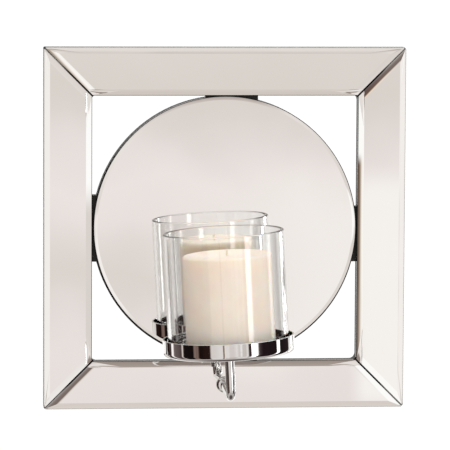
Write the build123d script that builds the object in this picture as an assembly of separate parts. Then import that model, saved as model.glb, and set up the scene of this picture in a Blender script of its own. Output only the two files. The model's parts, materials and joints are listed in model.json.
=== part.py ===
from build123d import *
from math import cos, radians, sin, sqrt
import os

# Wall sconce candle holder with a square mirrored frame.
# +X is right and +Z is up for a person facing the wall. The wall is the plane Y = 0
# and the sconce stands out from it towards -Y. The origin is the centre of the board's
# back face. All sizes are in millimetres.

# ---- driving dimensions -------------------------------------------------------------
FRAME_SIDE = 305.0        # outer side of the square frame
STRIP_WIDTH = 40.5        # width of each mirror strip
DISC_DIAMETER = 221.4     # round mirror
DISC_LIFT = 0.8           # the round mirror is glued this far above the frame's centre
BOARD_THICKNESS = 12.0
TAPE_THICKNESS = 0.8
MIRROR_THICKNESS = 4.0

STRIP_BEVEL_WIDTH = 5.2
STRIP_BEVEL_DEPTH = 0.9
DISC_BEVEL_WIDTH = 3.0
DISC_BEVEL_DEPTH = 0.32
ARRIS = 0.5               # width of the narrow ground edge outside the bevels
MITRE_GAP = 0.5           # between neighbouring strips
TIP_CUT = 1.2             # the strips' sharp tips are ground off by this much
TAPE_WIDTH = 12.0
STRIP_TAPE_SPREAD = 10.0  # from a strip's centre line to each of its two tapes
STRIP_TAPE_MARGIN = 12.0  # from the opening's corner to the end of a tape
DISC_TAPE_SPACING = 38.0
DISC_TAPE_MARGIN = 12.0   # from the disc's edge to the end of a tape
DISC_TAPE_COUNT = 5
BOARD_INSET = 0.1         # the ring's outer edge stands this far inside the strips'
OPENING_INSET = 0.6       # and its inner edge this far
BOARD_CORNER_RADIUS = 5.0 # the router's radius in the opening's corners
BOARD_CORNER_CHAMFER = 0.8
BACKING_RADIUS = 111.5    # round centre of the board, a little larger than its mirror
BRIDGE_WIDTH = 56.0       # board left standing between the round centre and the ring
TOP_BRIDGE_WIDTH = 44.0
TOP_BRIDGE_SHIFT = 5.7    # to the right
RIGHT_BRIDGE_WIDTH = 46.5
RIGHT_BRIDGE_DROP = 5.4   # below the middle

ROD_DIAMETER = 8.0
ROD_BEND_RADIUS = 8.5     # on the rod's centre line
STUD_DIAMETER = 6.0       # threaded end that passes through the board
STUD_CLEARANCE = 0.075    # radial, in the board
STUD_GLASS_CLEARANCE = 1.0  # radial, in the bottom mirror strip
STUD_INSET = 0.8          # the stud's end lies this far inside the board's back face
STUD_CHAMFER = 0.6
HOLDER_REACH = 64.0       # from the mirrors' face to the holder's axis
ARM_RISE = 33.5           # from the stud's axis to the underside of the cup plate
ARM_DROOP = 2.5           # the rod sinks this far between the rosette and its bend
ARM_STRAIGHT = 6.0        # level part of the rod at the rosette
HOLDER_LEAN = 3.1         # degrees that the holder leans, top to the left

CUP_DIAMETER = 109.0
CUP_HEIGHT = 14.4
CUP_WALL = 1.5
CUP_CORNER = 4.0          # outside radius between wall and floor
CUP_RIM_ROUNDING = 0.5
CUP_PLATE_DIAMETER = 24.0
CUP_PLATE_THICKNESS = 1.5
CUP_PLATE_CHAMFER = 0.5

GLASS_DIAMETER = 100.0
GLASS_HEIGHT = 96.8
GLASS_WALL = 2.8
GLASS_BASE = 4.0
GLASS_FOOT_ROUNDING = 2.0
GLASS_INNER_ROUNDING = 2.5
GLASS_RIM_ROUNDING = 1.0
CANDLE_DIAMETER = 74.4
CANDLE_HEIGHT = 74.3
CANDLE_SHIFT = 2.1        # the candle stands this far right of the glass's centre
WICK_DIAMETER = 2.0
CANDLE_FOOT_ROUNDING = 1.0
CANDLE_TOP_ROUNDING = 2.0
WICK_HEIGHT = 4.0         # wick above the wax

# ---- small hardware -----------------------------------------------------------------
ROSETTE_DIAMETER = 13.6
ROSETTE_THICKNESS = 3.2
ROSETTE_DOME = 2.6        # rounding of the collar's front edge
ROSETTE_WASHER_THICKNESS = 0.6
ROSETTE_WASHER_INSET = 0.4  # its edge stands this far inside the collar's
ROSETTE_WASHER_CLEARANCE = 0.3  # radial, round the stud
ROSETTE_AIR = 0.2         # the turning collar clears its washer by this much
NUT_POCKET_DIAMETER = 20.0
NUT_POCKET_DEPTH = 7.0
WASHER_DIAMETER = 14.0
WASHER_THICKNESS = 1.0
SPRING_WASHER_DIAMETER = 10.6
SPRING_WASHER_THICKNESS = 1.2
SPRING_WASHER_SPLIT = 0.9
NUT_ACROSS_FLATS = 10.0
NUT_THICKNESS = 3.2
NUT_ROUNDING = 0.985      # of the distance over its corners
NUT_CHAMFER = 0.4
WASHER_AIR = 0.2          # the turning washer clears the pocket's floor by this much

SCREW_DIAMETER = 5.0      # cup screw
SCREW_HEAD_DIAMETER = 9.5
SCREW_HEAD_HEIGHT = 2.4
SCREW_HEAD_ROUNDING = 1.2
SCREW_LENGTH = 12.0       # depth of the tapped hole in the rod
SCREW_SHORT = 1.0         # the screw ends this far above the hole's bottom
SCREW_RECESS_SIZE = 5.0
SCREW_RECESS_DEPTH = 1.1
PAD_DIAMETER = 9.0
PAD_HEIGHT = 3.2
PAD_COUNT = 3
PAD_CIRCLE = 78.0         # diameter of the circle that the pads stand on

HANGER_LENGTH = 44.0
HANGER_WIDTH = 18.0
HANGER_THICKNESS = 1.5
HANGER_CORNER_RADIUS = 3.0
HANGER_SEAT_CLEARANCE = 0.2
HANGER_SPACING = 200.0    # between the two hangers' centres
HANGER_SCREW_SPACING = 34.0
HANGER_SCREW_DIAMETER = 3.0
HANGER_SCREW_HEAD = 5.4
HANGER_SCREW_LENGTH = 9.5
HANGER_SCREW_TIP = 1.5
HANGER_SCREW_CLEARANCE = 0.02
HANGER_SCREW_PILOT = 0.5  # the hole is this much deeper than the screw
HANGER_RECESS_SIZE = 3.0
HANGER_RECESS_DEPTH = 0.9
KEYHOLE_ENTRY_DIAMETER = 9.0
KEYHOLE_SLOT_WIDTH = 4.6
KEYHOLE_SLOT_RISE = 8.0   # from the entry hole's centre to the slot's top end
KEYHOLE_DROP = 3.6        # the entry hole's centre is below the plate's centre
HANGER_POCKET_DEPTH = 5.0  # room for the wall screw's head, behind the plate
HANGER_POCKET_MARGIN = 2.5  # the pocket is this much larger than the keyhole all round

# ---- places worked out from the driving dimensions -----------------------------------
OPENING_SIDE = FRAME_SIDE - 2 * STRIP_WIDTH
DISC_RADIUS = DISC_DIAMETER / 2
BOARD_FRONT = -BOARD_THICKNESS
MIRROR_BACK = BOARD_FRONT - TAPE_THICKNESS
MIRROR_FRONT = MIRROR_BACK - MIRROR_THICKNESS
STRIP_CENTRE = (FRAME_SIDE - STRIP_WIDTH) / 2
ARM_Z = -STRIP_CENTRE
HOLDER_Y = MIRROR_FRONT - HOLDER_REACH
HANGER_Z = STRIP_CENTRE

# heights above the stud's axis, along the holder's own axis
CUP_BOTTOM = ARM_RISE + CUP_PLATE_THICKNESS
CUP_FLOOR = CUP_BOTTOM + CUP_WALL
GLASS_BOTTOM = CUP_FLOOR + PAD_HEIGHT
CANDLE_BOTTOM = GLASS_BOTTOM + GLASS_BASE
CANDLE_TOP = CANDLE_BOTTOM + CANDLE_HEIGHT

PARTS = {}


def facing_plane(y):
    """Plane at depth y whose local x, y and normal are the row's +X, +Z and -Y."""
    return Plane(origin=(0, y, 0), x_dir=(1, 0, 0), z_dir=(0, -1, 0))


def slab(face, back, thickness):
    """Extrude a face drawn in X and Z from depth `back` towards the room."""
    return extrude(facing_plane(back) * face, amount=thickness)


def round_bar(x, z, radius, start, end):
    """Cylinder along Y between two depths."""
    return slab(Pos(x, z) * Circle(radius), max(start, end), abs(end - start))


def lean(shape):
    """Turn a shape of the upright holder about the stud's axis to its leaning pose."""
    axis = Axis((0, 0, ARM_Z), (0, 1, 0))
    return shape.rotate(axis, -HOLDER_LEAN)


def disc_at(diameter, bottom, height):
    """Upright cylinder on the holder's axis, `bottom` above the stud's axis."""
    low = Pos(0, HOLDER_Y, ARM_Z + bottom)
    return low * Cylinder(diameter / 2, height, align=(Align.CENTER, Align.CENTER, Align.MIN))


def turned(points, corners=()):
    """Solid of revolution about the holder's axis from (radius, height) points."""
    plane = Plane(origin=(0, HOLDER_Y, ARM_Z), x_dir=(1, 0, 0), z_dir=(0, -1, 0))
    profile = make_face(Polyline(*points, close=True))
    for index, radius in corners:
        near = profile.vertices().sort_by_distance(Vector(*points[index]))[0]
        profile = fillet(near, radius)
    return revolve(plane * profile, Axis((0, HOLDER_Y, 0), (0, 0, 1)))


# ---- board ----------------------------------------------------------------------------
def board_outline():
    """Square ring, round centre and the four bridges that join them."""
    outer = FRAME_SIDE - 2 * BOARD_INSET
    inner = OPENING_SIDE + 2 * OPENING_INSET
    reach = (OPENING_SIDE + STRIP_WIDTH) / 2
    outline = Rectangle(outer, outer) - RectangleRounded(inner, inner, BOARD_CORNER_RADIUS)
    outline += Circle(BACKING_RADIUS)
    outline += Pos(0, -reach / 2) * Rectangle(BRIDGE_WIDTH, reach)
    outline += Pos(-reach / 2, 0) * Rectangle(reach, BRIDGE_WIDTH)
    outline += Pos(TOP_BRIDGE_SHIFT, reach / 2) * Rectangle(TOP_BRIDGE_WIDTH, reach)
    outline += Pos(reach / 2, -RIGHT_BRIDGE_DROP) * Rectangle(reach, RIGHT_BRIDGE_WIDTH)
    return outline


def hanger_places():
    return [-HANGER_SPACING / 2, HANGER_SPACING / 2]


def hanger_screw_places():
    places = []
    for x in hanger_places():
        for side in (-1, 1):
            places.append(x + side * HANGER_SCREW_SPACING / 2)
    return places


def keyhole(clearance=0.0):
    """Round entry with a slot above it, drawn about the entry hole's centre."""
    entry = Circle(KEYHOLE_ENTRY_DIAMETER / 2 + clearance)
    width = KEYHOLE_SLOT_WIDTH + 2 * clearance
    slot_end = Pos(0, KEYHOLE_SLOT_RISE) * Circle(width / 2)
    slot = Pos(0, KEYHOLE_SLOT_RISE / 2) * Rectangle(width, KEYHOLE_SLOT_RISE)
    return entry + slot + slot_end


def hanger_outline(x, clearance=0.0):
    length = HANGER_LENGTH + 2 * clearance
    width = HANGER_WIDTH + 2 * clearance
    return Pos(x, HANGER_Z) * RectangleRounded(length, width, HANGER_CORNER_RADIUS + clearance)


def back_board():
    board = slab(board_outline(), 0, BOARD_THICKNESS)
    edges = board.edges().filter_by(Axis.Y)
    corner = FRAME_SIDE / 2 - 2 * BOARD_INSET
    outer_edges = edges.filter_by(lambda e: min(abs(e.center().X), abs(e.center().Z)) > corner)
    board = chamfer(outer_edges, BOARD_CORNER_CHAMFER)
    board -= round_bar(0, ARM_Z, STUD_DIAMETER / 2 + STUD_CLEARANCE, 0, BOARD_FRONT)
    board -= round_bar(0, ARM_Z, NUT_POCKET_DIAMETER / 2, 0, -NUT_POCKET_DEPTH)
    for x in hanger_places():
        board -= slab(hanger_outline(x, HANGER_SEAT_CLEARANCE), 0, HANGER_THICKNESS)
        pocket = Pos(x, HANGER_Z - KEYHOLE_DROP) * keyhole(HANGER_POCKET_MARGIN)
        board -= slab(pocket, 0, HANGER_POCKET_DEPTH + HANGER_THICKNESS)
    for x in hanger_screw_places():
        radius = HANGER_SCREW_DIAMETER / 2 + HANGER_SCREW_CLEARANCE
        board -= round_bar(x, HANGER_Z, radius, 0, -HANGER_SCREW_LENGTH - HANGER_SCREW_PILOT)
    return board


# ---- mirrors --------------------------------------------------------------------------
def bevelled_pane(outline, bevel_width, bevel_depth):
    """Flat pane with a shallow bevel and a narrow arris all round its front face."""
    edge_front = MIRROR_FRONT + bevel_depth + ARRIS
    bevel_start = MIRROR_FRONT + bevel_depth - ARRIS * bevel_depth / bevel_width
    layers = [(edge_front, 0.0), (bevel_start, ARRIS), (MIRROR_FRONT, bevel_width)]
    pane = slab(outline, MIRROR_BACK, MIRROR_BACK - edge_front)
    for (low_y, low_inset), (high_y, high_inset) in zip(layers, layers[1:]):
        low = facing_plane(low_y) * inset(outline, low_inset)
        high = facing_plane(high_y) * inset(outline, high_inset)
        pane += loft([low.face(), high.face()])
    return pane


def inset(outline, amount):
    if amount == 0:
        return outline
    return offset(outline, amount=-amount, kind=Kind.INTERSECTION)


def strip_outline():
    """Top strip: a trapezoid with its sharp ends ground off."""
    outer = FRAME_SIDE / 2
    inner = OPENING_SIDE / 2
    half_gap = MITRE_GAP / 2 * sqrt(2)
    points = [
        (-(outer - half_gap) + TIP_CUT, outer),
        (outer - half_gap - TIP_CUT, outer),
        (outer - half_gap - TIP_CUT, outer - TIP_CUT),
        (inner - half_gap, inner),
        (-(inner - half_gap), inner),
        (-(outer - half_gap) + TIP_CUT, outer - TIP_CUT),
    ]
    return make_face(Polyline(*points, close=True))


def mirror_strip(turn):
    pane = bevelled_pane(strip_outline(), STRIP_BEVEL_WIDTH, STRIP_BEVEL_DEPTH)
    return pane.rotate(Axis.Y, turn)


def mirror_strip_bottom():
    radius = STUD_DIAMETER / 2 + STUD_GLASS_CLEARANCE
    hole = round_bar(0, ARM_Z, radius, MIRROR_BACK, MIRROR_FRONT)
    return mirror_strip(180) - hole


def mirror_disc():
    bevel_foot = MIRROR_FRONT + DISC_BEVEL_DEPTH
    points = [
        (0, MIRROR_BACK),
        (DISC_RADIUS, MIRROR_BACK),
        (DISC_RADIUS, bevel_foot + ARRIS),
        (DISC_RADIUS - ARRIS, bevel_foot - ARRIS * DISC_BEVEL_DEPTH / DISC_BEVEL_WIDTH),
        (DISC_RADIUS - DISC_BEVEL_WIDTH, MIRROR_FRONT),
        (0, MIRROR_FRONT),
    ]
    profile = make_face(Polyline(*points, close=True))
    return Pos(0, 0, DISC_LIFT) * revolve(profile, Axis.Y)


# ---- mounting tape --------------------------------------------------------------------
def tape_strips():
    """Two tapes side by side under each mirror strip."""
    tapes = []
    length = OPENING_SIDE - 2 * STRIP_TAPE_MARGIN
    for turn in (0, 90, 180, 270):
        for side in (-1, 1):
            z = STRIP_CENTRE + side * STRIP_TAPE_SPREAD
            outline = Pos(0, z) * Rectangle(length, TAPE_WIDTH)
            tapes.append(slab(outline, BOARD_FRONT, TAPE_THICKNESS).rotate(Axis.Y, turn))
    return tapes


def tape_disc():
    """Upright tapes, each as long as the disc is at its place."""
    tapes = []
    for index in range(DISC_TAPE_COUNT):
        x = (index - (DISC_TAPE_COUNT - 1) / 2) * DISC_TAPE_SPACING
        reach = abs(x) + TAPE_WIDTH / 2
        length = 2 * (sqrt(DISC_RADIUS ** 2 - reach ** 2) - DISC_TAPE_MARGIN)
        outline = Pos(x, DISC_LIFT) * Rectangle(TAPE_WIDTH, length)
        tapes.append(slab(outline, BOARD_FRONT, TAPE_THICKNESS))
    return tapes


# ---- hangers --------------------------------------------------------------------------
def hanger(x):
    plate = slab(hanger_outline(x), 0, HANGER_THICKNESS)
    plate -= slab(Pos(x, HANGER_Z - KEYHOLE_DROP) * keyhole(), 0, HANGER_THICKNESS)
    for side in (-1, 1):
        screw_x = x + side * HANGER_SCREW_SPACING / 2
        plate -= countersunk_screw(screw_x, HANGER_SCREW_CLEARANCE)
    return plate


def countersunk_screw(x, extra=0.0):
    """Screw whose flat head lies level with the board's back face."""
    head = HANGER_SCREW_HEAD / 2 + extra
    shank = HANGER_SCREW_DIAMETER / 2 + extra
    cone_end = -(HANGER_SCREW_HEAD - HANGER_SCREW_DIAMETER) / 2
    points = [
        (x, 0),
        (x + head, 0),
        (x + shank, cone_end),
        (x + shank, -HANGER_SCREW_LENGTH + HANGER_SCREW_TIP),
        (x, -HANGER_SCREW_LENGTH),
    ]
    profile = make_face(Polyline(*points, close=True))
    screw = revolve(profile, Axis((x, 0, 0), (0, 1, 0)))
    return Pos(0, 0, HANGER_Z) * screw


def cross(size):
    """Outline of a cross-shaped driver recess."""
    return Rectangle(size, size / 4) + Rectangle(size / 4, size)


def hanger_screws():
    screws = []
    for x in hanger_screw_places():
        recess = slab(Pos(x, HANGER_Z) * cross(HANGER_RECESS_SIZE), 0, HANGER_RECESS_DEPTH)
        screws.append(countersunk_screw(x) - recess)
    return screws


# ---- arm ------------------------------------------------------------------------------
def arm_rod():
    """Rod out of the frame and up to the cup, with its threaded end at the back."""
    rod_start = MIRROR_FRONT - ROSETTE_WASHER_THICKNESS - ROSETTE_AIR
    path = FilletPolyline(
        (0, rod_start, ARM_Z),
        (0, rod_start - ARM_STRAIGHT, ARM_Z),
        (0, HOLDER_Y, ARM_Z - ARM_DROOP),
        (0, HOLDER_Y, ARM_Z + ARM_RISE),
        radius=ROD_BEND_RADIUS,
    )
    section = facing_plane(rod_start) * Pos(0, ARM_Z) * Circle(ROD_DIAMETER / 2)
    rod = sweep(section, path=path)
    rod += round_bar(0, ARM_Z, STUD_DIAMETER / 2, rod_start, -STUD_INSET)
    rod = chamfer(rod.edges().filter_by(GeomType.CIRCLE).sort_by(Axis.Y)[-1], STUD_CHAMFER)
    tapped = disc_at(SCREW_DIAMETER, ARM_RISE - SCREW_LENGTH, SCREW_LENGTH)
    return rod - tapped


def arm_rosette():
    """Domed collar over the hole in the bottom strip."""
    back = MIRROR_FRONT - ROSETTE_WASHER_THICKNESS - ROSETTE_AIR
    collar = round_bar(0, ARM_Z, ROSETTE_DIAMETER / 2, back, back - ROSETTE_THICKNESS)
    front_edge = collar.edges().filter_by(GeomType.CIRCLE).sort_by(Axis.Y)[0]
    collar = fillet(front_edge, ROSETTE_DOME)
    return collar - round_bar(0, ARM_Z, ROD_DIAMETER / 2, back, back - ROSETTE_THICKNESS)


def rosette_washer():
    front = MIRROR_FRONT - ROSETTE_WASHER_THICKNESS
    outer = ROSETTE_DIAMETER / 2 - ROSETTE_WASHER_INSET
    inner = STUD_DIAMETER / 2 + ROSETTE_WASHER_CLEARANCE
    disc = round_bar(0, ARM_Z, outer, MIRROR_FRONT, front)
    return disc - round_bar(0, ARM_Z, inner, MIRROR_FRONT, front)


def arm_washer():
    start = -NUT_POCKET_DEPTH + WASHER_AIR
    washer = round_bar(0, ARM_Z, WASHER_DIAMETER / 2, start, start + WASHER_THICKNESS)
    return washer - round_bar(0, ARM_Z, STUD_DIAMETER / 2, start, start + WASHER_THICKNESS)


def arm_spring_washer():
    """Split ring between the flat washer and the nut."""
    start = -NUT_POCKET_DEPTH + WASHER_AIR + WASHER_THICKNESS
    end = start + SPRING_WASHER_THICKNESS
    ring = round_bar(0, ARM_Z, SPRING_WASHER_DIAMETER / 2, start, end)
    ring -= round_bar(0, ARM_Z, STUD_DIAMETER / 2, start, end)
    height = SPRING_WASHER_DIAMETER / 2
    split = Pos(0, ARM_Z + height) * Rectangle(SPRING_WASHER_SPLIT, height)
    return ring - slab(split, end, SPRING_WASHER_THICKNESS)


def arm_nut():
    start = -NUT_POCKET_DEPTH + WASHER_AIR + WASHER_THICKNESS + SPRING_WASHER_THICKNESS
    end = start + NUT_THICKNESS
    corner_radius = NUT_ACROSS_FLATS / 2 / cos(radians(30))
    nut = slab(Pos(0, ARM_Z) * RegularPolygon(corner_radius, 6), end, NUT_THICKNESS)
    rounding = round_bar(0, ARM_Z, corner_radius * NUT_ROUNDING, start, end)
    rounding = chamfer(rounding.edges().filter_by(GeomType.CIRCLE), NUT_CHAMFER)
    return (nut & rounding) - round_bar(0, ARM_Z, STUD_DIAMETER / 2, start, end)


# ---- cup ------------------------------------------------------------------------------
def cup_plate():
    plate = disc_at(CUP_PLATE_DIAMETER, ARM_RISE, CUP_PLATE_THICKNESS)
    plate = chamfer(plate.edges().sort_by(Axis.Z)[0], CUP_PLATE_CHAMFER)
    return plate - disc_at(SCREW_DIAMETER, ARM_RISE, CUP_PLATE_THICKNESS)


def cup():
    """Shallow pan turned from sheet, with a rounded bottom corner and a flat rim."""
    radius = CUP_DIAMETER / 2
    hole = SCREW_DIAMETER / 2
    top = CUP_BOTTOM + CUP_HEIGHT
    points = [
        (hole, CUP_BOTTOM),
        (radius, CUP_BOTTOM),
        (radius, top),
        (radius - CUP_WALL, top),
        (radius - CUP_WALL, CUP_FLOOR),
        (hole, CUP_FLOOR),
    ]
    corners = [(1, CUP_CORNER), (4, CUP_CORNER - CUP_WALL)]
    corners += [(2, CUP_RIM_ROUNDING), (3, CUP_RIM_ROUNDING)]
    return turned(points, corners)


def cup_screw():
    """Pan-head screw through the cup and its plate into the arm."""
    head = disc_at(SCREW_HEAD_DIAMETER, CUP_FLOOR, SCREW_HEAD_HEIGHT)
    head = fillet(head.edges().sort_by(Axis.Z)[-1], SCREW_HEAD_ROUNDING)
    shank_bottom = ARM_RISE - SCREW_LENGTH + SCREW_SHORT
    shank = disc_at(SCREW_DIAMETER, shank_bottom, CUP_FLOOR - shank_bottom)
    recess_floor = ARM_Z + CUP_FLOOR + SCREW_HEAD_HEIGHT - SCREW_RECESS_DEPTH
    outline = Pos(0, HOLDER_Y, recess_floor) * cross(SCREW_RECESS_SIZE)
    return head + shank - extrude(outline, amount=SCREW_RECESS_DEPTH)


def cup_pads():
    pads = []
    for index in range(PAD_COUNT):
        angle = radians(90 + index * 360 / PAD_COUNT)
        x = PAD_CIRCLE / 2 * cos(angle)
        y = HOLDER_Y + PAD_CIRCLE / 2 * sin(angle)
        align = (Align.CENTER, Align.CENTER, Align.MIN)
        pad = Pos(x, y, ARM_Z + CUP_FLOOR) * Cylinder(PAD_DIAMETER / 2, PAD_HEIGHT, align=align)
        pads.append(pad)
    return pads


# ---- glass and candle -------------------------------------------------------------------
def glass_cylinder():
    """Straight clear cylinder with a thick flat base and a rounded rim."""
    outer = GLASS_DIAMETER / 2
    inner = outer - GLASS_WALL
    top = GLASS_BOTTOM + GLASS_HEIGHT
    points = [
        (0, GLASS_BOTTOM),
        (outer, GLASS_BOTTOM),
        (outer, top),
        (inner, top),
        (inner, CANDLE_BOTTOM),
        (0, CANDLE_BOTTOM),
    ]
    corners = [(1, GLASS_FOOT_ROUNDING), (4, GLASS_INNER_ROUNDING)]
    corners += [(2, GLASS_RIM_ROUNDING), (3, GLASS_RIM_ROUNDING)]
    return turned(points, corners)


def candle_wax():
    radius = CANDLE_DIAMETER / 2
    hole = WICK_DIAMETER / 2
    points = [
        (hole, CANDLE_BOTTOM),
        (radius, CANDLE_BOTTOM),
        (radius, CANDLE_TOP),
        (hole, CANDLE_TOP),
    ]
    corners = [(1, CANDLE_FOOT_ROUNDING), (2, CANDLE_TOP_ROUNDING)]
    return Pos(CANDLE_SHIFT, 0, 0) * turned(points, corners)


def candle_wick():
    wick = disc_at(WICK_DIAMETER, CANDLE_BOTTOM, CANDLE_HEIGHT + WICK_HEIGHT)
    return Pos(CANDLE_SHIFT, 0, 0) * wick


# ---- assembly ---------------------------------------------------------------------------
def build_frame():
    PARTS["back_board"] = back_board()
    PARTS["mirror_strip_top"] = mirror_strip(0)
    PARTS["mirror_strip_bottom"] = mirror_strip_bottom()
    PARTS["mirror_strip_left"] = mirror_strip(-90)
    PARTS["mirror_strip_right"] = mirror_strip(90)
    PARTS["mirror_disc"] = mirror_disc()
    PARTS["tape_strips"] = Compound(children=tape_strips())
    PARTS["tape_disc"] = Compound(children=tape_disc())
    PARTS["hanger_left"] = hanger(-HANGER_SPACING / 2)
    PARTS["hanger_right"] = hanger(HANGER_SPACING / 2)
    PARTS["hanger_screws"] = Compound(children=hanger_screws())
    PARTS["rosette_washer"] = rosette_washer()


def build_arm():
    PARTS["arm_rod"] = lean(arm_rod())
    PARTS["arm_rosette"] = lean(arm_rosette())
    PARTS["arm_washer"] = lean(arm_washer())
    PARTS["arm_spring_washer"] = lean(arm_spring_washer())
    PARTS["arm_nut"] = lean(arm_nut())
    PARTS["cup_plate"] = lean(cup_plate())
    PARTS["cup"] = lean(cup())
    PARTS["cup_screw"] = lean(cup_screw())
    PARTS["cup_pads"] = Compound(children=[lean(pad) for pad in cup_pads()])
    PARTS["glass_cylinder"] = lean(glass_cylinder())
    PARTS["candle_wax"] = lean(candle_wax())
    PARTS["candle_wick"] = lean(candle_wick())


def main():
    build_frame()
    build_arm()
    os.makedirs("parts", exist_ok=True)
    for name, shape in PARTS.items():
        export_step(shape, f"parts/{name}.step")


main()
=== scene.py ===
import json
from math import atan2, cos, pi, radians, sin, sqrt

import bmesh
import bpy
from mathutils import Matrix, Vector, noise


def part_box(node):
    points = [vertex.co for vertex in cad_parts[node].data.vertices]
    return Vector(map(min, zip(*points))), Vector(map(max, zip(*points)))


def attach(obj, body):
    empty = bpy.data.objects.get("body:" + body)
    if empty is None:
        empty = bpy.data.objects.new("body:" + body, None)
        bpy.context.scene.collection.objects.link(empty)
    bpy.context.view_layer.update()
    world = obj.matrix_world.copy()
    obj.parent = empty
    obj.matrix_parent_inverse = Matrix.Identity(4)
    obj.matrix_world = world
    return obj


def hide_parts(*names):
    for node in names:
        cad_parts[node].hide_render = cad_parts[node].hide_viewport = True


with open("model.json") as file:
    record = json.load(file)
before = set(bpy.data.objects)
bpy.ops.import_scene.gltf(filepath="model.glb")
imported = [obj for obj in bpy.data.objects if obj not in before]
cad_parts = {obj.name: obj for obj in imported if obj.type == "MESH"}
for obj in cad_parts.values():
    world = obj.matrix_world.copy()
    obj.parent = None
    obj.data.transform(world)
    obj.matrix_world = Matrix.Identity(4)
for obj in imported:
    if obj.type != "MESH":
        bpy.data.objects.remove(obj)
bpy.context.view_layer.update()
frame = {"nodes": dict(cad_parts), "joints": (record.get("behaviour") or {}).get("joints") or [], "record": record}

MM = 0.001
DEGREES = 180 / pi
STRIP_BEVEL = 5.2 * MM
DISC_BEVEL = 3.0 * MM


# ---- where the holder stands -----------------------------------------------------------
def joint(name):
    return next(j for j in frame["joints"] if j["name"] == name)


def centre(node):
    low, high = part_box(node)
    return (low + high) / 2


UP = Vector(joint("glass_lift")["axis"]).normalized()
LEAN = atan2(UP.x, UP.z)


def upright(node):
    """Foot, height and radius of a round node that stands along the holder's axis."""
    middle = centre(node)
    heights = []
    radii = []
    for vertex in frame["nodes"][node].data.vertices:
        offset = vertex.co - middle
        height = offset.dot(UP)
        heights.append(height)
        radii.append((offset - UP * height).length)
    return middle + UP * min(heights), max(heights) - min(heights), max(radii)


# ---- node helpers -----------------------------------------------------------------------
class Tree:
    """Short names for building a node tree."""

    def __init__(self, owner):
        owner.use_nodes = True
        self.nodes = owner.node_tree.nodes
        self.links = owner.node_tree.links
        self.nodes.clear()

    def add(self, kind, **settings):
        node = self.nodes.new(kind)
        for name, value in settings.items():
            setattr(node, name, value)
        return node

    def set(self, socket, value):
        if isinstance(value, bpy.types.NodeSocket):
            self.links.new(value, socket)
        elif isinstance(value, bpy.types.Node):
            self.links.new(value.outputs[0], socket)
        else:
            socket.default_value = value

    def math(self, operation, a, b=0.0, c=0.0):
        node = self.add("ShaderNodeMath", operation=operation)
        for socket, value in zip(node.inputs, (a, b, c)):
            self.set(socket, value)
        return node.outputs[0]

    def smooth(self, value, start, end, low=0.0, high=1.0):
        node = self.add("ShaderNodeMapRange", interpolation_type="SMOOTHSTEP")
        self.set(node.inputs["Value"], value)
        node.inputs["From Min"].default_value = start
        node.inputs["From Max"].default_value = end
        node.inputs["To Min"].default_value = low
        node.inputs["To Max"].default_value = high
        return node.outputs[0]

    def times(self, a, b):
        return self.math("MULTIPLY", a, b)

    def ramp(self, value, stops):
        """Colour ramp over stops that are given in the value's own unit."""
        low = stops[0][0]
        span = stops[-1][0] - low
        node = self.add("ShaderNodeValToRGB")
        elements = node.color_ramp.elements
        while len(elements) < len(stops):
            elements.new(0.5)
        for element, (position, colour) in zip(elements, stops):
            element.position = (position - low) / span
            element.color = (*colour, 1)
        share = self.math("DIVIDE", self.math("SUBTRACT", value, low), span)
        self.set(node.inputs["Fac"], share)
        return node.outputs["Color"]

    def mix(self, factor, a, b, blend="MIX"):
        node = self.add("ShaderNodeMix", data_type="RGBA", blend_type=blend)
        self.set(node.inputs["Factor"], factor)
        for name, value in (("A", a), ("B", b)):
            socket = next(s for s in node.inputs if s.name == name and s.type == "RGBA")
            self.set(socket, (*value, 1) if isinstance(value, tuple) else value)
        return next(s for s in node.outputs if s.type == "RGBA")

    def noise(self, coordinates, scale, detail=2.0, rough=0.5, distortion=0.0):
        node = self.add("ShaderNodeTexNoise")
        self.set(node.inputs["Vector"], coordinates)
        node.inputs["Scale"].default_value = scale
        node.inputs["Detail"].default_value = detail
        node.inputs["Roughness"].default_value = rough
        node.inputs["Distortion"].default_value = distortion
        return node.outputs["Fac"]

    def stretch(self, coordinates, scale):
        node = self.add("ShaderNodeMapping")
        self.set(node.inputs["Vector"], coordinates)
        node.inputs["Scale"].default_value = scale
        return node.outputs[0]

    def bump(self, height, strength, distance, normal=None):
        node = self.add("ShaderNodeBump")
        self.set(node.inputs["Height"], height)
        node.inputs["Strength"].default_value = strength
        node.inputs["Distance"].default_value = distance
        if normal is not None:
            self.set(node.inputs["Normal"], normal)
        return node.outputs[0]

    def place(self):
        return self.add("ShaderNodeTexCoord").outputs["Object"]

    def split(self, vector):
        node = self.add("ShaderNodeSeparateXYZ")
        self.set(node.inputs[0], vector)
        return node.outputs

    def normal(self):
        return self.split(self.add("ShaderNodeNewGeometry").outputs["Normal"])


def material(name):
    """A new material with its tree, Principled shader and output."""
    made = bpy.data.materials.new(name)
    tree = Tree(made)
    shader = tree.add("ShaderNodeBsdfPrincipled")
    output = tree.add("ShaderNodeOutputMaterial")
    tree.links.new(shader.outputs[0], output.inputs["Surface"])
    return made, tree, shader, output


def srgb(red, green, blue):
    """Linear colour from 0-255 screen values."""
    def linear(value):
        value /= 255
        return value / 12.92 if value <= 0.04045 else ((value + 0.055) / 1.055) ** 2.4
    return (linear(red), linear(green), linear(blue))


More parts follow.
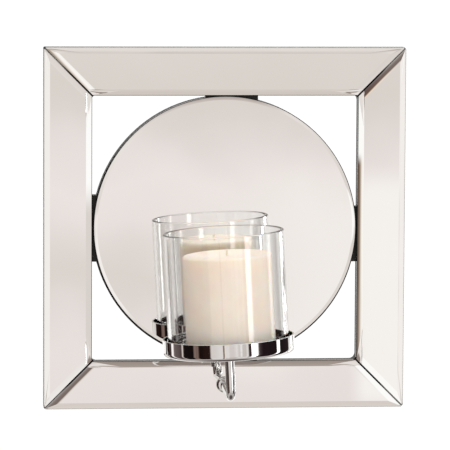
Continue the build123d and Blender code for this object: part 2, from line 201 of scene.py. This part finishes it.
# ---- materials ----------------------------------------------------------------------------
def strip_bevels(tree, x, z):
    """How far across its bevel a point of a strip lies: -1 at the flat, 1 at the glass edge."""
    tilted_both_ways = 0.004
    half_bevel = STRIP_BEVEL / 2
    low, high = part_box("mirror_strip_top")
    beside = tree.math("ABSOLUTE", x)
    above = tree.math("ABSOLUTE", z)
    out = tree.math("MAXIMUM", beside, above)
    outer = tree.math("DIVIDE", tree.math("SUBTRACT", out, high.z - half_bevel), half_bevel)
    inner = tree.math("DIVIDE", tree.math("SUBTRACT", low.z + half_bevel, out), half_bevel)
    skew = tree.math("ABSOLUTE", tree.math("SUBTRACT", beside, above))
    gap = tree.math("SUBTRACT", half_bevel, tree.math("DIVIDE", skew, sqrt(2)))
    mitre = tree.math("DIVIDE", gap, half_bevel)
    nx, _, nz = tree.normal()
    tilt = tree.math("ABSOLUTE", tree.times(nx, nz))
    on_mitre = tree.math("GREATER_THAN", tilt, tilted_both_ways)
    side = tree.math("MAXIMUM", outer, inner)
    difference = tree.math("SUBTRACT", mitre, side)
    return tree.math("MULTIPLY_ADD", difference, on_mitre, side)


def disc_bevel(tree, x, z):
    """The same across the round mirror's bevel."""
    low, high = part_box("mirror_disc")
    radius = (high.x - low.x) / 2
    up = tree.math("SUBTRACT", z, (low.z + high.z) / 2)
    square = tree.math("ADD", tree.times(x, x), tree.times(up, up))
    out = tree.math("SUBTRACT", tree.math("SQRT", square), radius - DISC_BEVEL / 2)
    return tree.math("DIVIDE", out, DISC_BEVEL / 2)


def mirror_material(name, across_bevel):
    """Silvered glass: polished face, slightly rounded bevels, ground edges with a painted reflection on the outer
    ones, paint behind.
    """
    side_on, face_on = 0.80, 0.90
    least_roll, most_roll = 0.07, 0.11
    past_glass_edge = 1.2
    made, tree, shader, _ = material(name)
    place = tree.place()
    x, _, z = tree.split(place)
    nx, ny, nz = tree.normal()
    facing = tree.times(ny, -1.0)
    front = tree.smooth(facing, side_on, face_on)
    out = tree.math("MAXIMUM", tree.math("ABSOLUTE", x), tree.math("ABSOLUTE", z))
    # The outer glass edges get a lighter tone, a painted reflection of the room's light; the inner edges keep the
    # dark tone of ground glass.
    painted_reflection_mask = tree.smooth(out, 130 * MM, 140 * MM)
    ground = tree.mix(tree.noise(place, 60.0, 4.0), srgb(34, 38, 35), srgb(16, 19, 18))
    painted_edge_reflection = tree.mix(tree.noise(place, 60.0, 4.0), srgb(176, 176, 172), srgb(150, 151, 148))
    edge_tone_with_painted_reflection = tree.mix(painted_reflection_mask, ground, painted_edge_reflection)
    silver = tree.mix(tree.noise(place, 7.0, 3.0), srgb(252, 252, 251), srgb(248, 248, 247))
    tree.set(shader.inputs["Base Color"], tree.mix(front, edge_tone_with_painted_reflection, silver))
    tree.set(shader.inputs["Metallic"], front)
    smudge = tree.smooth(tree.noise(place, 18.0, 6.0, 0.7), 0.52, 0.80, 0.0, 0.035)
    edge_rough = tree.smooth(facing, side_on, face_on, 0.16, 0.0)
    tree.set(shader.inputs["Roughness"], tree.math("ADD", smudge, edge_rough))

    across = tree.math("MINIMUM", across_bevel(tree, x, z), past_glass_edge)
    across = tree.math("MAXIMUM", across, -past_glass_edge)
    roll = tree.smooth(tree.noise(place, 14.0, 2.0), 0.3, 0.7, least_roll, most_roll)
    tilt = tree.math("MULTIPLY_ADD", across, roll, 1.0)
    rounded = tree.add("ShaderNodeCombineXYZ")
    tree.set(rounded.inputs["X"], tree.times(nx, tilt))
    tree.set(rounded.inputs["Y"], ny)
    tree.set(rounded.inputs["Z"], tree.times(nz, tilt))
    unit = tree.add("ShaderNodeVectorMath", operation="NORMALIZE")
    tree.set(unit.inputs[0], rounded)
    tree.set(shader.inputs["Normal"], unit)
    return made


def chrome_material():
    """Polished plate with faint swirls from buffing."""
    made, tree, shader, _ = material("polished_chrome")
    place = tree.place()
    swirl = tree.noise(tree.stretch(place, (1, 1, 14)), 90.0, 5.0, 0.65, 0.3)
    tone = tree.mix(tree.noise(place, 25.0, 3.0), srgb(232, 231, 230), srgb(222, 221, 221))
    tree.set(shader.inputs["Base Color"], tone)
    shader.inputs["Metallic"].default_value = 1.0
    tree.set(shader.inputs["Roughness"], tree.smooth(swirl, 0.35, 0.75, 0.015, 0.07))
    tree.set(shader.inputs["Normal"], tree.bump(swirl, 0.12, 0.00004))
    return made


def zinc_material():
    """Zinc plate with its blotchy crystals."""
    made, tree, shader, _ = material("zinc_plate")
    place = tree.place()
    cells = tree.add("ShaderNodeTexVoronoi")
    tree.set(cells.inputs["Vector"], place)
    cells.inputs["Scale"].default_value = 700.0
    tone = tree.mix(cells.outputs["Color"], srgb(178, 180, 182), srgb(150, 153, 158))
    tree.set(shader.inputs["Base Color"], tone)
    shader.inputs["Metallic"].default_value = 1.0
    scuffs = tree.noise(tree.stretch(place, (1, 1, 8)), 300.0, 4.0, 0.7)
    tree.set(shader.inputs["Roughness"], tree.smooth(scuffs, 0.3, 0.7, 0.24, 0.42))
    tree.set(shader.inputs["Normal"], tree.bump(scuffs, 0.25, 0.00005))
    return made


def board_material():
    """Satin black paint over fibreboard: orange peel on the faces, fibres on the cut edges."""
    made, tree, shader, _ = material("black_board_paint")
    place = tree.place()
    flat = tree.smooth(tree.math("ABSOLUTE", tree.normal()[1]), 0.7, 0.95)
    fibres = tree.noise(tree.stretch(place, (1, 9, 1)), 420.0, 6.0, 0.75)
    peel = tree.noise(place, 650.0, 3.0, 0.55)
    dust = tree.smooth(tree.noise(place, 35.0, 6.0, 0.7), 0.50, 0.85)
    tone = tree.mix(dust, srgb(30, 28, 26), srgb(46, 43, 40))
    worn = tree.mix(tree.smooth(fibres, 0.55, 0.85), tone, srgb(64, 55, 46))
    tree.set(shader.inputs["Base Color"], tree.mix(flat, worn, tone))
    tree.set(shader.inputs["Roughness"], tree.smooth(dust, 0.0, 1.0, 0.52, 0.70))
    shader.inputs["Specular IOR Level"].default_value = 0.3
    relief = tree.mix(flat, fibres, peel)
    tree.set(shader.inputs["Normal"], tree.bump(relief, 0.35, 0.0002))
    return made


def tape_material():
    """White closed-cell foam."""
    made, tree, shader, _ = material("foam_tape")
    place = tree.place()
    cells = tree.add("ShaderNodeTexVoronoi")
    tree.set(cells.inputs["Vector"], place)
    cells.inputs["Scale"].default_value = 2200.0
    tone = tree.mix(cells.outputs["Distance"], srgb(236, 236, 232), srgb(205, 205, 200))
    tree.set(shader.inputs["Base Color"], tone)
    shader.inputs["Roughness"].default_value = 0.85
    tree.set(shader.inputs["Normal"], tree.bump(cells.outputs["Distance"], 0.5, 0.0001))
    return made


def clear_material(name, tint, roughness, ior, waviness):
    """Clear glass or plastic that lets lamps shine through to what is behind it."""
    made, tree, shader, output = material(name)
    place = tree.place()
    shader.inputs["Base Color"].default_value = (*tint, 1)
    shader.inputs["Roughness"].default_value = roughness
    shader.inputs["IOR"].default_value = ior
    shader.inputs["Transmission Weight"].default_value = 1.0
    ripple = tree.noise(tree.stretch(place, (1, 1, 0.25)), 30.0, 2.0)
    tree.set(shader.inputs["Normal"], tree.bump(ripple, waviness, 0.0002))
    clear = tree.add("ShaderNodeBsdfTransparent")
    clear.inputs["Color"].default_value = (*[0.5 + t / 2 for t in tint], 1)
    mixer = tree.add("ShaderNodeMixShader")
    path = tree.add("ShaderNodeLightPath")
    tree.set(mixer.inputs[0], path.outputs["Is Shadow Ray"])
    tree.links.new(shader.outputs[0], mixer.inputs[1])
    tree.links.new(clear.outputs[0], mixer.inputs[2])
    tree.links.new(mixer.outputs[0], output.inputs["Surface"])
    return made


def wax_material():
    """Cream wax: light soaks into it, with faint mottling and a soft sheen."""
    made, tree, shader, _ = material("cream_wax")
    place = tree.place()
    mottle = tree.noise(place, 55.0, 5.0, 0.6)
    pale = tree.mix(tree.smooth(mottle, 0.3, 0.75), srgb(250, 239, 227), srgb(247, 232, 217))
    crystals = tree.noise(place, 900.0, 4.0, 0.7)
    flecks = tree.smooth(crystals, 0.45, 0.9, 0.0, 0.35)
    tree.set(shader.inputs["Base Color"], tree.mix(flecks, pale, srgb(252, 246, 238)))
    shader.inputs["Subsurface Weight"].default_value = 0.85
    shader.inputs["Subsurface Radius"].default_value = (1.0, 0.62, 0.34)
    shader.inputs["Subsurface Scale"].default_value = 0.014
    tree.set(shader.inputs["Roughness"], tree.smooth(mottle, 0.3, 0.7, 0.42, 0.56))
    uneven = tree.bump(mottle, 0.25, 0.0006)
    tree.set(shader.inputs["Normal"], tree.bump(crystals, 0.15, 0.0001, uneven))
    return made


def wick_material():
    """Unburnt braided cotton, waxed."""
    made, tree, shader, _ = material("cotton_wick")
    place = tree.place()
    fibre = tree.noise(tree.stretch(place, (6, 6, 1)), 900.0, 5.0, 0.7)
    tone = tree.mix(fibre, srgb(246, 240, 224), srgb(214, 203, 178))
    tree.set(shader.inputs["Base Color"], tone)
    shader.inputs["Roughness"].default_value = 0.7
    shader.inputs["Sheen Weight"].default_value = 0.3
    tree.set(shader.inputs["Normal"], tree.bump(fibre, 0.5, 0.0001))
    return made


def floor_material():
    """Matt pale floor with a slow change of tone."""
    made, tree, shader, _ = material("pale_floor")
    place = tree.place()
    tone = tree.mix(tree.noise(place, 1.5, 3.0), srgb(238, 237, 236), srgb(232, 231, 230))
    tree.set(shader.inputs["Base Color"], tone)
    shader.inputs["Roughness"].default_value = 0.8
    return made


def dress_cad_nodes():
    """Give every kept CAD node its finish, by the record's material slots."""
    finishes = {
        "black_paint": board_material(),
        "mirror": mirror_material("strip_mirror", strip_bevels),
        "tape": tape_material(),
        "zinc_steel": zinc_material(),
        "chrome": chrome_material(),
        "clear_plastic": clear_material("clear_washer", (0.92, 0.95, 0.95), 0.05, 1.49, 0.1),
        "clear_rubber": clear_material("clear_pads", (0.90, 0.92, 0.92), 0.25, 1.45, 0.2),
        "clear_glass": clear_material("clear_glass", (0.985, 0.990, 0.988), 0.0, 1.45, 0.05),
        "wax": wax_material(),
        "wick": wick_material(),
    }
    for part in frame["record"]["subparts"]:
        node = frame["nodes"][part["node"]]
        node.data.materials.clear()
        node.data.materials.append(finishes[part["material_slot"]])
    disc = frame["nodes"]["mirror_disc"]
    disc.data.materials[0] = mirror_material("disc_mirror", disc_bevel)
    return finishes


# ---- candle -------------------------------------------------------------------------------
def add_piece(name, mesh, node, body, finish):
    """Turn a bmesh into a piece that stands for a CAD node and rides on its body."""
    bmesh.ops.recalc_face_normals(mesh, faces=mesh.faces)
    data = bpy.data.meshes.new(name)
    mesh.to_mesh(data)
    mesh.free()
    data.shade_smooth()
    data.materials.append(finish)
    made = bpy.data.objects.new(name, data)
    bpy.context.scene.collection.objects.link(made)
    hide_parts(node)
    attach(made, body)


def bridge(mesh, first, second):
    """Faces between two rings of vertices."""
    count = len(first)
    for step in range(count):
        following = (step + 1) % count
        mesh.faces.new((first[step], first[following], second[following], second[step]))


def arc_points(middle, radius, start, end, steps):
    """Points along an arc, from the start angle to the end angle in degrees."""
    points = []
    for step in range(steps + 1):
        angle = radians(start + (end - start) * step / steps)
        points.append((middle[0] + radius * cos(angle), middle[1] + radius * sin(angle)))
    return points


def candle_profile(radius, height, bore):
    """Radius and height along the candle's skin, from the foot of its bore round to the top of it."""
    foot = 1.0 * MM
    shoulder = 2.4 * MM
    dish = 1.3 * MM
    profile = [(bore, 0.0)]
    profile += arc_points((radius - foot, foot), foot, -90, 0, 4)
    wall_rings = 26
    for step in range(1, wall_rings):
        profile.append((radius, foot + (height - foot - shoulder) * step / wall_rings))
    profile += arc_points((radius - shoulder, height - shoulder), shoulder, 0, 90, 7)
    top_rings = 15
    rim = radius - shoulder
    for step in range(1, top_rings + 1):
        share = 1 - step / top_rings
        sunk = dish * (1 - share ** 2) ** 2
        profile.append((bore + (rim - bore) * share, height - sunk))
    bore_rings = 10
    top = height - dish
    for step in range(1, bore_rings):
        profile.append((bore, top * (1 - step / bore_rings)))
    return profile


def candle_wax(finish):
    """Moulded pillar: a soft shoulder, a shallow dish at the wick and a hand's unevenness."""
    foot, height, radius = upright("candle_wax")
    segments = 128
    waves = 28.0
    lumps = 120.0
    side_room = 0.25 * MM
    top_room = 0.2 * MM
    calm_round_wick = 6 * MM
    mesh = bmesh.new()
    rings = []
    bore = upright("candle_wick")[2]
    for out, up in candle_profile(radius - side_room, height - top_room, bore):
        ring = []
        soft = min(1.0, (out - bore) / calm_round_wick)
        for step in range(segments):
            angle = 2 * pi * step / segments
            place = Vector((out * cos(angle), out * sin(angle), up))
            slow = noise.noise(place * waves)
            fine = noise.noise(place * lumps)
            swell = soft * (0.28 * slow + 0.10 * fine) * MM
            rise = soft * up / height * (0.18 * slow + 0.08 * fine) * MM
            grown = max(out + min(swell, side_room), bore)
            ring.append(mesh.verts.new((grown * cos(angle), grown * sin(angle), up + rise)))
        rings.append(ring)
    for first, second in zip(rings, rings[1:] + rings[:1]):
        bridge(mesh, first, second)
    mesh.transform(Matrix.Translation(foot) @ Matrix.Rotation(LEAN, 4, "Y"))
    add_piece("candle_pillar", mesh, "candle_wax", "candle", finish)


def candle_wick(finish):
    """Three waxed strands laid round each other, bent over a little where they leave the wax."""
    foot, height, radius = upright("candle_wick")
    strands = 3
    strand_radius = 0.52 * radius
    lay = 4.2 * MM
    bend_start = height - 5 * MM
    bend = 14.0
    lift = 0.2 * MM
    end_taper = 0.45
    steps_per_turn = 10
    sides = 9
    steps = round(height / lay * steps_per_turn)
    mesh = bmesh.new()
    for strand in range(strands):
        rings = []
        for step in range(steps + 1):
            up = (height - strand_radius) * step / steps + lift
            turn = 2 * pi * (up / lay + strand / strands)
            lean = max(0.0, up - bend_start) ** 2 * bend
            spread = radius - strand_radius
            middle = Vector((spread * cos(turn) + lean, spread * sin(turn), up))
            size = strand_radius * (end_taper if step in (0, steps) else 1.0)
            ring = []
            for side in range(sides):
                angle = 2 * pi * side / sides
                rim = Vector((size * cos(angle), size * sin(angle), 0))
                ring.append(mesh.verts.new(middle + rim))
            rings.append(ring)
        for first, second in zip(rings, rings[1:]):
            bridge(mesh, first, second)
        mesh.faces.new(rings[0])
        mesh.faces.new(rings[-1])
    mesh.transform(Matrix.Translation(foot) @ Matrix.Rotation(LEAN, 4, "Y"))
    add_piece("braided_wick", mesh, "candle_wick", "candle", finish)


# ---- stage, light and camera ----------------------------------------------------------------
def stage():
    """Pale floor at the height that a sconce hangs above one."""
    radius = 5.0
    drop = 1.35
    mesh = bmesh.new()
    bmesh.ops.create_circle(mesh, cap_ends=True, segments=96, radius=radius)
    data = bpy.data.meshes.new("floor")
    mesh.to_mesh(data)
    mesh.free()
    data.materials.append(floor_material())
    floor = bpy.data.objects.new("floor", data)
    floor.location = (0, 0, -drop)
    floor.visible_glossy = False
    bpy.context.scene.collection.objects.link(floor)


# ---- studio --------------------------------------------------------------------------------
# Directions in the studio are a bearing and a height in degrees. Bearing 0 is straight out
# from the wall and + is to the right; height 0 is level with the sconce.

# the pale screen in front, by height
SCREEN = [
    (-35, srgb(210, 203, 198)),
    (-28.5, srgb(214, 206, 200)),
    (-23, srgb(206, 198, 191)),
    (-17, srgb(222, 215, 210)),
    (-11, srgb(232, 226, 222)),
    (-8.6, srgb(229, 221, 218)),
    (-7.4, srgb(233, 225, 222)),
    (-6.9, srgb(226, 218, 215)),
    (-6.4, srgb(219, 212, 206)),
    (-5.9, srgb(224, 216, 212)),
    (-5.3, srgb(232, 224, 221)),
    (-4.8, srgb(235, 227, 224)),
    (-4.3, srgb(230, 222, 219)),
    (-3.8, srgb(221, 213, 209)),
    (-3.4, srgb(217, 210, 204)),
    (-1.0, srgb(226, 219, 215)),
    (3, srgb(232, 226, 222)),
    (6.5, srgb(217, 209, 205)),
    (9, srgb(180, 169, 162)),
    (13, srgb(152, 140, 132)),
    (15, srgb(205, 197, 192)),
    (17, srgb(226, 219, 214)),
    (30, srgb(232, 228, 225)),
]

# black flats and the gaps between them, by bearing: behind, left and front
FLATS = [
    (-180, srgb(244, 243, 242)),
    (-148, srgb(240, 239, 238)),
    (-145, srgb(60, 54, 54)),
    (-127, srgb(44, 38, 38)),
    (-124, srgb(250, 249, 248)),
    (-119, srgb(236, 232, 230)),
    (-117, srgb(110, 100, 98)),
    (-97, srgb(70, 60, 60)),
    (-94, srgb(214, 206, 200)),
    (-91, srgb(24, 18, 18)),
    (-70, srgb(20, 14, 14)),
    (-68, srgb(122, 104, 98)),
    (-60, srgb(110, 92, 86)),
    (-58, srgb(24, 14, 12)),
    (-38, srgb(40, 26, 22)),
    (-35, srgb(226, 218, 214)),
    (-20, srgb(240, 236, 233)),
    (-15.5, srgb(241, 237, 233)),
    (-14.5, srgb(231, 224, 220)),
    (12, srgb(229, 222, 218)),
    (19, srgb(217, 210, 205)),
    (25.5, srgb(216, 209, 204)),
    (26.5, srgb(243, 238, 234)),
    (29, srgb(243, 238, 234)),
    (30.5, srgb(52, 40, 42)),
    (35, srgb(70, 60, 62)),
]

# stripes of a door frame at the left, by bearing
DOOR_FRAME = [
    (-14.9, srgb(176, 164, 156)),
    (-14.2, srgb(172, 160, 152)),
    (-13.9, srgb(104, 86, 74)),
    (-12.9, srgb(128, 110, 96)),
    (-12.3, srgb(188, 172, 156)),
    (-11.6, srgb(238, 231, 224)),
    (-10.9, srgb(251, 247, 243)),
    (-9.6, srgb(243, 239, 235)),
]

# and across a doorway, along the direction from lower right to upper left
DOORWAY = [
    (9.4, srgb(247, 240, 234)),
    (10.4, srgb(214, 204, 196)),
    (11.0, srgb(116, 102, 98)),
    (12.6, srgb(128, 116, 112)),
    (13.4, srgb(160, 152, 148)),
    (14.2, srgb(204, 199, 196)),
]

# the doorway's brown lower part
BROWN_DOORWAY = [
    (9.4, srgb(254, 242, 230)),
    (10.6, srgb(250, 226, 200)),
    (11.2, srgb(96, 62, 42)),
    (13.0, srgb(78, 56, 58)),
    (14.2, srgb(130, 116, 112)),
]

# black flats and gaps on the right, by bearing
RIGHT_FLATS = [
    (35, srgb(70, 60, 62)),
    (37, srgb(252, 250, 248)),
    (47, srgb(252, 250, 248)),
    (49, srgb(76, 66, 68)),
    (56, srgb(34, 24, 28)),
    (87, srgb(28, 20, 22)),
    (89, srgb(250, 249, 248)),
    (94, srgb(250, 249, 248)),
    (97, srgb(30, 22, 24)),
    (122, srgb(36, 28, 30)),
    (126, srgb(250, 249, 248)),
    (145, srgb(246, 245, 244)),
    (180, srgb(244, 243, 242)),
]


class Studio(Tree):
    """The world's node tree, with each direction's bearing and height in degrees."""

    def __init__(self, world):
        super().__init__(world)
        self.direction = self.add("ShaderNodeTexCoord").outputs["Generated"]
        self.x, y, self.z = self.split(self.direction)
        out_of_wall = self.times(y, -1.0)
        self.bearing = self.times(self.math("ARCTAN2", self.x, out_of_wall), DEGREES)
        self.height = self.times(self.math("ARCSINE", self.z), DEGREES)
        self.aside = self.math("ABSOLUTE", self.bearing)

    def patch(self, colour, place, half, soft, tone):
        """Blend an oval patch of another tone over the surroundings."""
        across = self.math("DIVIDE", self.math("SUBTRACT", self.bearing, place[0]), half[0])
        up = self.math("DIVIDE", self.math("SUBTRACT", self.height, place[1]), half[1])
        square = self.math("ADD", self.times(across, across), self.times(up, up))
        inside = self.smooth(self.math("SQRT", square), 1 - soft, 1 + soft, 1.0, 0.0)
        return self.mix(inside, colour, tone)

    def within(self, value, start, end, soft):
        """1 between start and end, falling to 0 over soft on each side."""
        rise = self.smooth(value, start - soft, start + soft)
        fall = self.smooth(value, end - soft, end + soft, 1.0, 0.0)
        return self.times(rise, fall)


def screen_in_front(studio):
    """Pale screen, a little blotchy, with a glow at its right."""
    blotches = studio.noise(studio.direction, 34.0, 2.0, 0.45)
    level = studio.math("SUBTRACT", studio.height, 0.8)
    wavy_height = studio.math("MULTIPLY_ADD", blotches, 1.6, level)
    screen = studio.ramp(wavy_height, SCREEN)
    glow = studio.times(
        studio.smooth(studio.bearing, 3.6, 7.0), studio.smooth(wavy_height, -4.2, -5.2)
    )
    glow = studio.times(glow, studio.smooth(wavy_height, -8.0, -7.4))
    screen = studio.mix(glow, screen, srgb(241, 236, 232))
    far_right = studio.times(
        studio.smooth(studio.bearing, 7.15, 7.5), studio.within(studio.height, -8.3, -4.7, 0.3)
    )
    return studio.mix(far_right, screen, srgb(245, 241, 238))


def flats_beside(studio):
    """Streaked black flats at the sides, and pale ceiling and ground in front of them."""
    flats_start = (31.0, 37.0)
    split = 35.0
    flats = studio.ramp(studio.bearing, FLATS)
    right_flats = studio.ramp(studio.bearing, RIGHT_FLATS)
    on_right = studio.math("GREATER_THAN", studio.bearing, split)
    sides = studio.mix(on_right, flats, right_flats)
    streaks = studio.noise(studio.stretch(studio.direction, (1, 1, 0.05)), 60.0, 4.0, 0.6)
    streaks = studio.smooth(streaks, 0.40, 0.62, 0.0, 0.75)
    streaked = studio.times(streaks, studio.smooth(studio.aside, *flats_start))
    sides = studio.mix(streaked, sides, (1.7, 1.65, 1.62), "MULTIPLY")
    off_level = studio.smooth(studio.math("ABSOLUTE", studio.height), 15.0, 24.0)
    pale = studio.times(off_level, studio.smooth(studio.aside, *flats_start, 1.0, 0.0))
    return studio.mix(pale, sides, srgb(238, 235, 233))


def beside_screen(studio, colour):
    """Window, door frame and pale patches that the bevels pick up beside the screen."""
    window = studio.times(
        studio.within(studio.bearing, 20.0, 26.0, 0.6), studio.smooth(studio.height, -5.3, -4.7)
    )
    colour = studio.mix(window, colour, srgb(253, 252, 251))
    beside_door = studio.within(studio.bearing, -14.8, -9.6, 0.1)
    colour = studio.mix(beside_door, colour, studio.ramp(studio.bearing, DOOR_FRAME))
    above_door = studio.times(beside_door, studio.within(studio.height, -4.35, 3.0, 0.12))
    colour = studio.mix(above_door, colour, srgb(252, 251, 249))
    patches = [
        ((4.5, -12.2), (9.0, 2.0), 0.25, srgb(146, 134, 127)),
        ((-6.6, -9.5), (3.0, 6.0), 0.3, srgb(243, 238, 234)),
        ((-6.0, -22.3), (3.4, 3.2), 0.2, srgb(253, 251, 249)),
        ((16.8, -4.4), (3.0, 3.0), 0.15, srgb(253, 251, 249)),
    ]
    for place, half, soft, tone in patches:
        colour = studio.patch(colour, place, half, soft, tone)
    return colour


def dark_doorway(studio, colour):
    """A doorway, seen from mitre to mitre."""
    difference = studio.math("SUBTRACT", studio.height, studio.bearing)
    total = studio.math("ADD", studio.height, studio.bearing)
    rising = studio.math("DIVIDE", difference, sqrt(2))
    falling = studio.math("DIVIDE", total, sqrt(2))
    brown = studio.times(studio.smooth(falling, 3.7, 2.7), studio.smooth(falling, 0.0, 1.0))
    brown = studio.times(brown, 0.75)
    doorway = studio.mix(
        brown, studio.ramp(rising, DOORWAY), studio.ramp(rising, BROWN_DOORWAY)
    )
    along = studio.within(falling, -5.2, 4.6, 0.3)
    across = studio.within(rising, 9.2, 15.4, 0.2)
    return studio.mix(studio.times(along, across), colour, doorway)


def lamps_and_room(studio, colour):
    """Two tall lamps at the right, and the room overhead and underfoot."""
    colour = studio.patch(colour, (40.5, 0.0), (4.7, 24.0), 0.12, (5.4, 5.35, 5.3))
    colour = studio.patch(colour, (91.5, 0.0), (3.0, 24.0), 0.12, (3.2, 3.18, 3.15))
    colour = studio.mix(studio.smooth(studio.height, 36, 46), colour, (0.95, 0.94, 0.93))
    colour = studio.mix(studio.smooth(studio.height, -38, -46), colour, srgb(196, 190, 187))
    return studio.mix(studio.smooth(studio.height, -58, -72), colour, srgb(92, 84, 82))


def matt_fill(studio, colour, path):
    """Even light for matt surfaces: stronger from the right, and weaker from above."""
    rightward = studio.smooth(studio.x, -0.9, 0.9)
    from_below = studio.mix(rightward, (1.36, 1.23, 1.17), (1.46, 1.40, 1.42))
    from_above = studio.mix(rightward, (0.72, 0.65, 0.61), (0.82, 0.78, 0.78))
    fill = studio.mix(studio.smooth(studio.z, -0.5, 0.6), from_below, from_above)
    lit = studio.math("MINIMUM", path.outputs["Diffuse Depth"], 1.0)
    return studio.mix(lit, colour, fill)


def studio_world():
    """White room with a pale screen in front of the sconce and black flats at its sides."""
    strength = 1.04
    screen_left, screen_right = (-11.0, -9.0), (13.0, 9.0)
    world = bpy.data.worlds.new("studio")
    bpy.context.scene.world = world
    studio = Studio(world)
    front = studio.times(
        studio.smooth(studio.bearing, *screen_left), studio.smooth(studio.bearing, *screen_right)
    )
    colour = studio.mix(front, flats_beside(studio), screen_in_front(studio))
    colour = beside_screen(studio, colour)
    colour = dark_doorway(studio, colour)
    colour = lamps_and_room(studio, colour)
    path = studio.add("ShaderNodeLightPath")
    colour = matt_fill(studio, colour, path)
    colour = studio.mix(path.outputs["Is Camera Ray"], colour, (1.0, 1.0, 1.0))
    background = studio.add("ShaderNodeBackground")
    studio.set(background.inputs["Color"], colour)
    background.inputs["Strength"].default_value = strength
    output = studio.add("ShaderNodeOutputWorld")
    studio.links.new(background.outputs[0], output.inputs["Surface"])


def area_light(name, place, target, size, power, colour):
    """A lamp that lights matt surfaces only: mirrors and glass don't show it."""
    lamp = bpy.data.lights.new(name, "AREA")
    lamp.shape = "RECTANGLE"
    lamp.size, lamp.size_y = size
    lamp.energy = power
    lamp.color = colour
    made = bpy.data.objects.new(name, lamp)
    made.location = place
    aim = Vector(target) - Vector(place)
    made.rotation_euler = aim.to_track_quat("-Z", "Y").to_euler()
    made.visible_camera = False
    made.visible_glossy = False
    made.visible_transmission = False
    bpy.context.scene.collection.objects.link(made)


def lights():
    """Soft lamps round the holder, and one for the light that the round mirror throws back."""
    target = centre("cup")
    mirror = centre("mirror_disc")
    before_mirror = Vector((mirror.x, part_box("mirror_disc")[0].y - 1 * MM, mirror.z))
    lamps = [
        ("key_right", (1.3, -1.5, 0.9), (0.9, 1.2), 6.0, (1.0, 0.94, 0.92)),
        ("fill_left", (-1.6, -1.2, 0.3), (1.0, 1.2), 3.0, (1.0, 0.95, 0.90)),
        ("front_low", (0.3, -2.2, -0.7), (1.6, 0.8), 4.0, (1.0, 0.94, 0.92)),
        ("mirror_bounce", before_mirror, (0.2, 0.2), 0.1, (1.0, 0.93, 0.90)),
        ("top", (0.0, -0.6, 1.6), (1.2, 1.0), 0.3, (1.0, 0.96, 0.94)),
    ]
    for name, place, size, power, colour in lamps:
        area_light(name, place, target, size, power, colour)


CAMERA_PLACE = (-0.2705, -3.0, 0.2875)
CAMERA_TARGET = (-0.0001, -0.0168, 0.00308)
CAMERA_ROLL = radians(0.29)
CAMERA_LENS = 286.1
SENSOR = 36.0
CLIP_END = 50.0


def camera():
    """Camera a little to the left and above, turned to the middle of the sconce."""
    data = bpy.data.cameras.new("camera")
    data.sensor_width = SENSOR
    data.lens = CAMERA_LENS
    data.clip_end = CLIP_END
    made = bpy.data.objects.new("camera", data)
    made.location = CAMERA_PLACE
    aim = Vector(CAMERA_TARGET) - Vector(CAMERA_PLACE)
    pose = aim.to_track_quat("-Z", "Y").to_matrix() @ Matrix.Rotation(CAMERA_ROLL, 3, "Z")
    made.rotation_euler = pose.to_euler()
    bpy.context.scene.collection.objects.link(made)
    bpy.context.scene.camera = made


finishes = dress_cad_nodes()
candle_wax(finishes["wax"])
candle_wick(finishes["wick"])
stage()
studio_world()
lights()
camera()
bpy.context.scene.view_settings.view_transform = "Standard"
